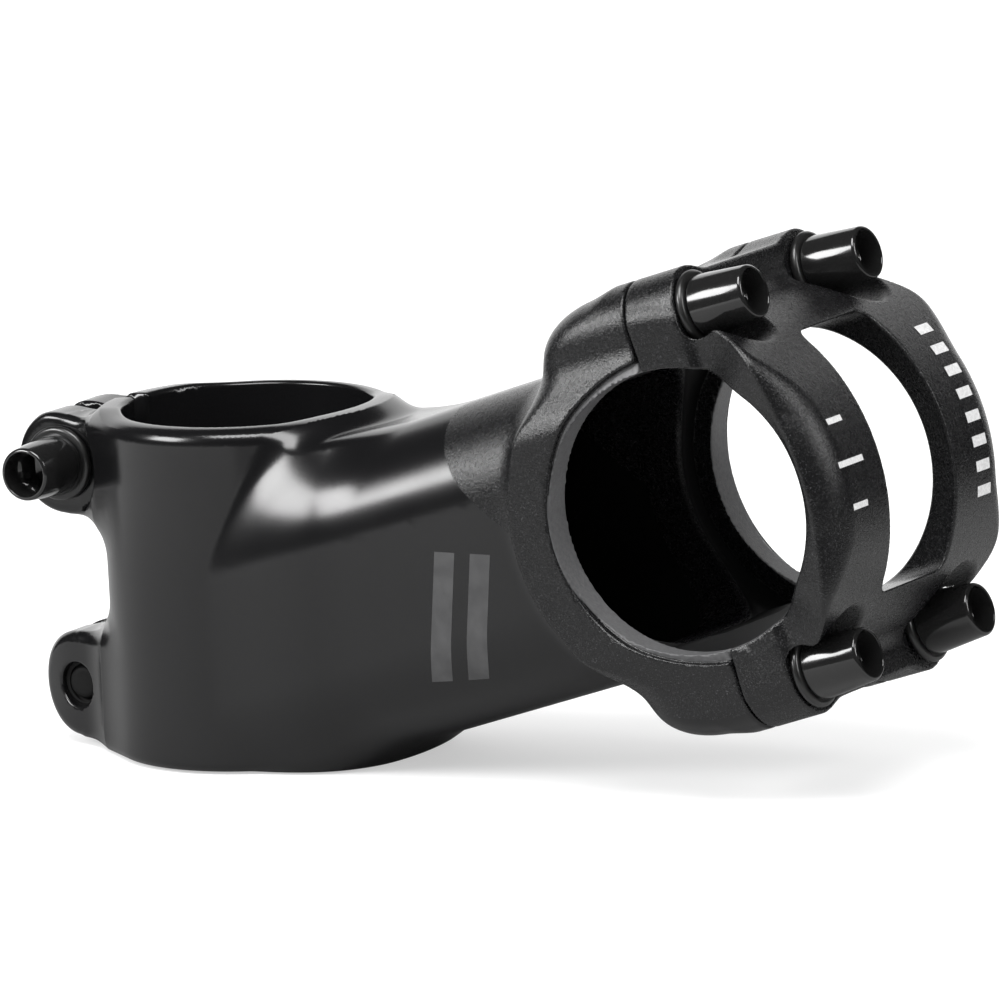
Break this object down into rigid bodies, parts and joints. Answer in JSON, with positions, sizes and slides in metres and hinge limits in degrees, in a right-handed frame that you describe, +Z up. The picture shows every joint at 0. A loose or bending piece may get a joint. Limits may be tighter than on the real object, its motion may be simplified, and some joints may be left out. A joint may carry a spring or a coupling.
{
  "type": "handlebar stem",
  "caption": "Threadless bicycle handlebar stem: hollow raised extension with a split pinch collar at the back and a bolted bar clamp with a windowed faceplate at the front.",
  "frame": {"origin": "on the steerer axis, half way up the pinch collar", "axes": "+Z up along the steerer, +X forward to the handlebar, +Y to the rider's left"},
  "size_m": [0.1144, 0.041, 0.0604],
  "materials": {
    "body_black": "black anodised, smooth satin at the back and blasted at the front",
    "faceplate_black": "black anodised, fine blasted satin",
    "bolt_steel": "glossy black coated steel",
    "washer_steel": "black coated steel"
  },
  "bodies": {
    "stem": {"stem_body": "body_black"},
    "faceplate": {"faceplate": "faceplate_black"},
    "plate_washer_upper_near": {"faceplate_washer_upper_near": "washer_steel"},
    "plate_washer_upper_far": {"faceplate_washer_upper_far": "washer_steel"},
    "plate_washer_lower_near": {"faceplate_washer_lower_near": "washer_steel"},
    "plate_washer_lower_far": {"faceplate_washer_lower_far": "washer_steel"},
    "plate_bolt_upper_near": {"faceplate_bolt_upper_near": "bolt_steel"},
    "plate_bolt_upper_far": {"faceplate_bolt_upper_far": "bolt_steel"},
    "plate_bolt_lower_near": {"faceplate_bolt_lower_near": "bolt_steel"},
    "plate_bolt_lower_far": {"faceplate_bolt_lower_far": "bolt_steel"},
    "pinch_washer_upper": {"pinch_washer_upper": "washer_steel"},
    "pinch_washer_lower": {"pinch_washer_lower": "washer_steel"},
    "pinch_bolt_upper": {"pinch_bolt_upper": "bolt_steel"},
    "pinch_bolt_lower": {"pinch_bolt_lower": "bolt_steel"}
  },
  "joints": [
    {"name": "faceplate_off", "type": "slide", "parent": "stem", "child": "faceplate", "axis": [0.9563, 0, 0.2924], "range_m": [0, 0.025]},
    {"name": "plate_bolt_upper_near_travel", "type": "slide", "parent": "faceplate", "child": "plate_washer_upper_near", "axis": [0.9563, 0, 0.2924], "range_m": [0, 0.012]},
    {"name": "plate_bolt_upper_near_turn", "type": "hinge", "parent": "plate_washer_upper_near", "child": "plate_bolt_upper_near", "pos_m": [0.0679, -0.0129, 0.03556], "axis": [0.9563, 0, 0.2924], "range_deg": [0, 5401]},
    {"name": "plate_bolt_upper_far_travel", "type": "slide", "parent": "faceplate", "child": "plate_washer_upper_far", "axis": [0.9563, 0, 0.2924], "range_m": [0, 0.012]},
    {"name": "plate_bolt_upper_far_turn", "type": "hinge", "parent": "plate_washer_upper_far", "child": "plate_bolt_upper_far", "pos_m": [0.0679, 0.0129, 0.03556], "axis": [0.9563, 0, 0.2924], "range_deg": [0, 5401]},
    {"name": "plate_bolt_lower_near_travel", "type": "slide", "parent": "faceplate", "child": "plate_washer_lower_near", "axis": [0.9563, 0, 0.2924], "range_m": [0, 0.012]},
    {"name": "plate_bolt_lower_near_turn", "type": "hinge", "parent": "plate_washer_lower_near", "child": "plate_bolt_lower_near", "pos_m": [0.08006, -0.0129, -0.00422], "axis": [0.9563, 0, 0.2924], "range_deg": [0, 5401]},
    {"name": "plate_bolt_lower_far_travel", "type": "slide", "parent": "faceplate", "child": "plate_washer_lower_far", "axis": [0.9563, 0, 0.2924], "range_m": [0, 0.012]},
    {"name": "plate_bolt_lower_far_turn", "type": "hinge", "parent": "plate_washer_lower_far", "child": "plate_bolt_lower_far", "pos_m": [0.08006, 0.0129, -0.00422], "axis": [0.9563, 0, 0.2924], "range_deg": [0, 5401]},
    {"name": "pinch_bolt_upper_travel", "type": "slide", "parent": "stem", "child": "pinch_washer_upper", "axis": [0, -1, 0], "range_m": [0, 0.012]},
    {"name": "pinch_bolt_upper_turn", "type": "hinge", "parent": "pinch_washer_upper", "child": "pinch_bolt_upper", "pos_m": [-0.0208, -0.00846, 0.013], "axis": [0, -1, 0], "range_deg": [0, 5401]},
    {"name": "pinch_bolt_lower_travel", "type": "slide", "parent": "stem", "child": "pinch_washer_lower", "axis": [0, 1, 0], "range_m": [0, 0.012]},
    {"name": "pinch_bolt_lower_turn", "type": "hinge", "parent": "pinch_washer_lower", "child": "pinch_bolt_lower", "pos_m": [-0.0208, 0.00846, -0.013], "axis": [0, 1, 0], "range_deg": [0, 5401]}
  ],
  "couplings": [
    {"joint": "plate_bolt_upper_near_turn", "follows": "plate_bolt_upper_near_travel", "rad_per_m": 7854},
    {"joint": "plate_bolt_upper_far_turn", "follows": "plate_bolt_upper_far_travel", "rad_per_m": 7854},
    {"joint": "plate_bolt_lower_near_turn", "follows": "plate_bolt_lower_near_travel", "rad_per_m": 7854},
    {"joint": "plate_bolt_lower_far_turn", "follows": "plate_bolt_lower_far_travel", "rad_per_m": 7854},
    {"joint": "pinch_bolt_upper_turn", "follows": "pinch_bolt_upper_travel", "rad_per_m": 7854},
    {"joint": "pinch_bolt_lower_turn", "follows": "pinch_bolt_lower_travel", "rad_per_m": 7854}
  ]
}
